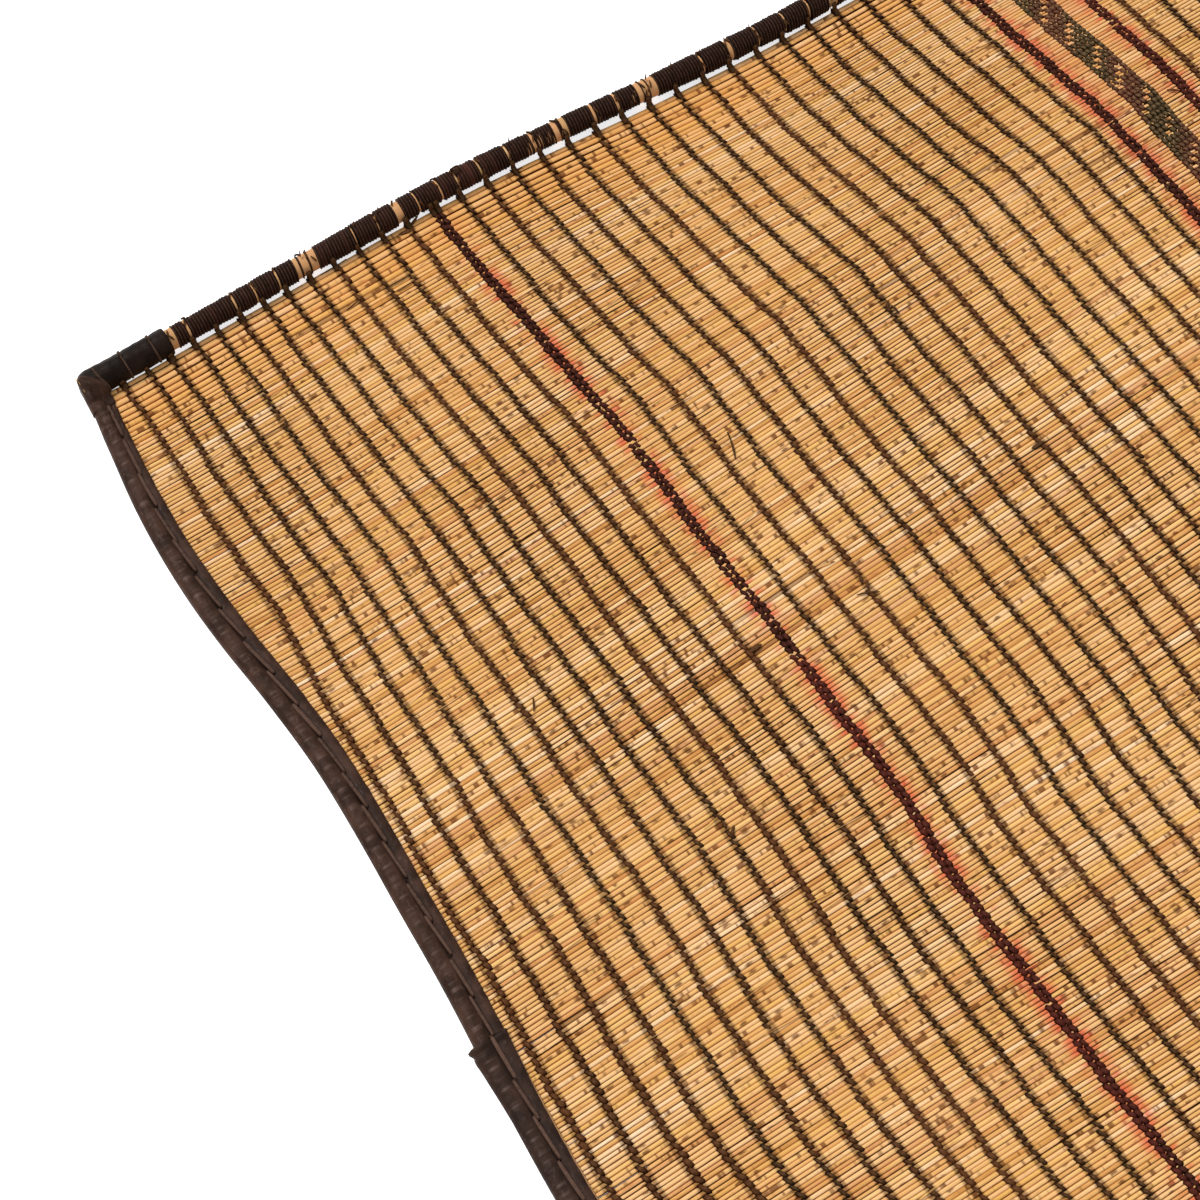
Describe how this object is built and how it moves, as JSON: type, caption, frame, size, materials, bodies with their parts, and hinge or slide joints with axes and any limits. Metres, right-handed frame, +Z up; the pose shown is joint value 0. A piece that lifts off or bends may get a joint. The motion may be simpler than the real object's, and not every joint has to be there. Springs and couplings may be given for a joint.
{
  "type": "tuareg reed and leather mat",
  "caption": "Flat mat of parallel reeds laced with dark leather thong, with wound end sticks, folded leather side bindings and corner caps.",
  "frame": {"origin": "on the surface the mat lies on, under the middle of the mat", "axes": "+X across the mat, along the reeds; +Y along the mat and its lacing lines, to the head end; +Z up"},
  "size_m": [1.428, 2.1, 0.0188],
  "materials": {
    "reed": "golden tan dry reed, each stem a little different, laced with dark brown thong",
    "red_thong": "dark red-brown dyed leather thong",
    "band_thong": "greenish black and dark red-brown leather thong",
    "binding_leather": "dark grey-brown leather, worn to a soft sheen",
    "winding_thong": "near-black leather thong, tightly wound",
    "stick": "bare orange-tan stick"
  },
  "bodies": {
    "root": {"reed_field": "reed", "red_line_1": "red_thong", "red_line_2": "red_thong", "red_line_3": "red_thong", "red_line_4": "red_thong", "centre_band": "band_thong", "left_binding_short": "binding_leather", "left_binding_long": "binding_leather", "right_binding_short": "binding_leather", "right_binding_long": "binding_leather", "head_rod": "stick", "foot_rod": "stick", "head_rod_winding": "winding_thong", "foot_rod_winding": "winding_thong", "head_left_cap": "binding_leather", "head_right_cap": "binding_leather", "foot_left_cap": "binding_leather", "foot_right_cap": "binding_leather"}
  },
  "joints": []
}
